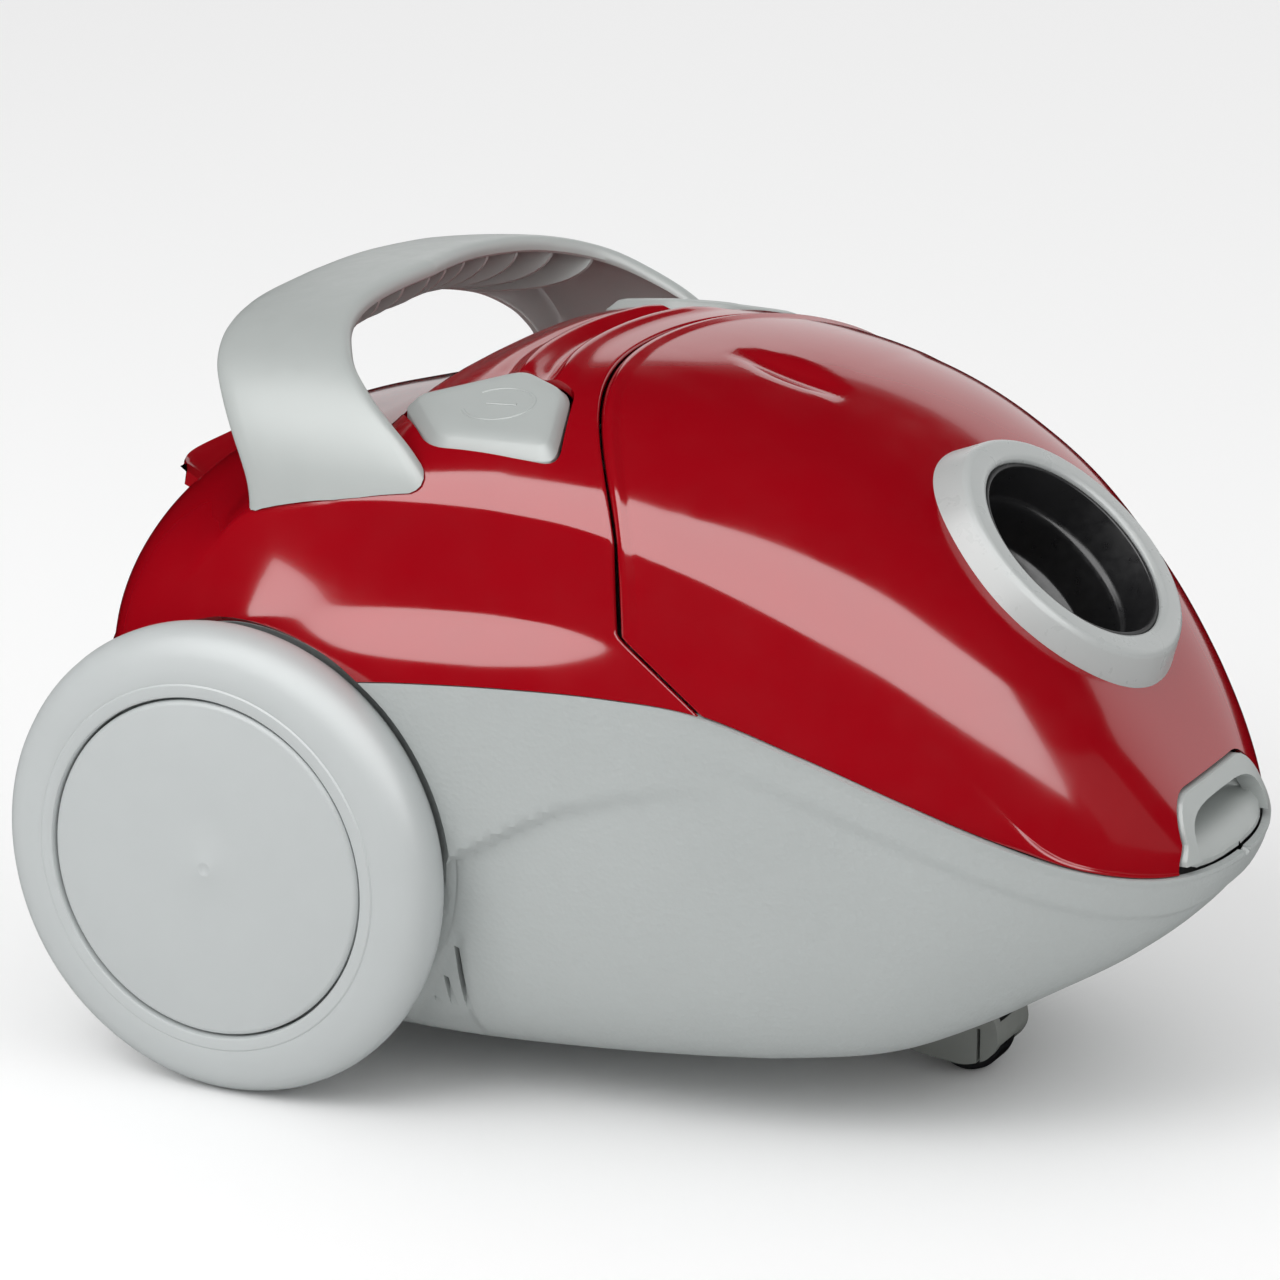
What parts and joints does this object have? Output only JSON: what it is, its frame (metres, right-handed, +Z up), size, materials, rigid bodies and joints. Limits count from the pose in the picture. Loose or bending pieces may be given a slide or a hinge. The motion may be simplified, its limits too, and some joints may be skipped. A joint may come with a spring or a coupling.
{
  "type": "canister vacuum cleaner",
  "caption": "Compact canister vacuum cleaner on two large wheels and a caster, with a hinged bag lid, angled hose inlet, foot pedals and a carry handle.",
  "frame": {"origin": "on the floor under the middle of the machine's box", "axes": "+X forward towards the hose inlet, +Y to the machine's left, +Z up"},
  "size_m": [0.3603, 0.2684, 0.2368],
  "materials": {
    "red_gloss": "glossy deep red injection-moulded shell",
    "grey_shell": "cool light grey plastic with a fine moulded grain",
    "grey_trim": "cool light grey plastic, satin",
    "dark_plastic": "black plastic, satin gloss",
    "white_plastic": "off-white plastic",
    "rubber": "black rubber",
    "steel": "plain steel",
    "copper": "enamelled copper winding",
    "carbon": "carbon brush block",
    "paper": "brown card collar",
    "filter_cloth": "white non-woven filter cloth",
    "cord_sheath": "black PVC cord sheath"
  },
  "bodies": {
    "chassis": {"rear_cover": "red_gloss", "base_tub": "grey_shell", "latch_pin": "steel", "finger_scoop": "grey_trim", "latch_spring": "steel", "carry_handle": "grey_trim", "rewind_spring": "steel", "power_spring": "steel", "power_switch": "dark_plastic", "spring_shelf": "grey_shell", "brake_pivot": "steel", "bag_collar": "paper", "bag_holder": "dark_plastic", "dust_bag": "filter_cloth", "lid_hinge_pin": "steel", "lid_seal": "rubber", "wheel_axle_left": "steel", "wheel_axle_right": "steel", "axle_clip_left": "steel", "axle_clip_right": "steel", "caster_bush": "white_plastic", "motor_partition": "grey_shell", "filter_frame": "white_plastic", "motor_filter": "filter_cloth", "front_motor_mount": "rubber", "fan_shroud": "steel", "motor_frame": "steel", "motor_stator": "copper", "front_bearing": "steel", "rear_bearing": "steel", "carbon_brush_left": "carbon", "carbon_brush_right": "carbon", "rear_motor_mount": "rubber", "motor_cradle": "grey_shell", "reel_base": "grey_shell", "cord_outlet": "dark_plastic", "exhaust_filter": "filter_cloth"},
    "wheel_left_body": {"wheel_left": "grey_shell", "wheel_cap_left": "grey_shell"},
    "wheel_right_body": {"wheel_right": "grey_shell", "wheel_cap_right": "grey_shell"},
    "caster_swivel": {"caster_fork": "grey_shell", "caster_stem": "steel", "caster_axle": "steel"},
    "caster_roller": {"caster_wheel": "dark_plastic"},
    "lid": {"bag_lid": "red_gloss", "hose_ring": "grey_trim", "hose_socket": "dark_plastic", "socket_seal": "rubber"},
    "latch": {"front_latch": "grey_trim"},
    "power_button": {"power_pedal": "grey_trim"},
    "rewind_button": {"rewind_pedal": "grey_trim"},
    "brake": {"brake_lever": "white_plastic"},
    "cord_reel": {"reel_drum": "dark_plastic", "wound_cord_pack": "cord_sheath"},
    "rotor": {"motor_shaft": "steel", "motor_rotor": "copper", "impeller": "steel"},
    "rear_door": {"exhaust_door": "red_gloss"}
  },
  "joints": [
    {"name": "left_wheel_spin", "type": "hinge", "parent": "chassis", "child": "wheel_left_body", "pos_m": [-0.1052, 0.117, 0.075], "axis": [0, 1, 0], "continuous": true},
    {"name": "right_wheel_spin", "type": "hinge", "parent": "chassis", "child": "wheel_right_body", "pos_m": [-0.1052, -0.117, 0.075], "axis": [0, 1, 0], "continuous": true},
    {"name": "caster_turn", "type": "hinge", "parent": "chassis", "child": "caster_swivel", "pos_m": [0.078, 0, 0.02], "axis": [0, 0, 1], "continuous": true},
    {"name": "caster_roll", "type": "hinge", "parent": "caster_swivel", "child": "caster_roller", "pos_m": [0.093, 0, 0.0118], "axis": [0, 1, 0], "continuous": true},
    {"name": "lid_open", "type": "hinge", "parent": "chassis", "child": "lid", "pos_m": [-0.02, 0, 0.2155], "axis": [0, -1, 0], "range_deg": [0, 55]},
    {"name": "latch_release", "type": "hinge", "parent": "chassis", "child": "latch", "pos_m": [0.165, 0, 0.0915], "axis": [0, 1, 0], "range_deg": [0, 12], "stiffness_Nm_per_rad": 0.3, "springref_deg": -5.73, "deforming": ["latch_spring"]},
    {"name": "power_press", "type": "slide", "parent": "chassis", "child": "power_button", "axis": [0, 0, -1], "range_m": [0, 0.005], "stiffness_N_per_m": 900, "springref_m": -0.002, "deforming": ["power_spring"]},
    {"name": "rewind_press", "type": "slide", "parent": "chassis", "child": "rewind_button", "axis": [0, 0, -1], "range_m": [0, 0.005], "stiffness_N_per_m": 900, "springref_m": -0.002, "deforming": ["rewind_spring"]},
    {"name": "brake_swing", "type": "hinge", "parent": "chassis", "child": "brake", "pos_m": [-0.036, 0.056, 0.161], "axis": [0, 0, -1], "range_deg": [0, 8]},
    {"name": "reel_spin", "type": "hinge", "parent": "chassis", "child": "cord_reel", "pos_m": [-0.088, 0, 0.147], "axis": [0, 0, 1], "continuous": true},
    {"name": "rotor_spin", "type": "hinge", "parent": "chassis", "child": "rotor", "pos_m": [0, 0, 0.082], "axis": [1, 0, 0], "continuous": true},
    {"name": "rear_door_open", "type": "hinge", "parent": "chassis", "child": "rear_door", "pos_m": [-0.17, 0, 0.136], "axis": [0, -1, 0], "range_deg": [0, 60]}
  ],
  "couplings": [
    {"joint": "brake_swing", "follows": "rewind_press", "rad_per_m": 27.9}
  ]
}
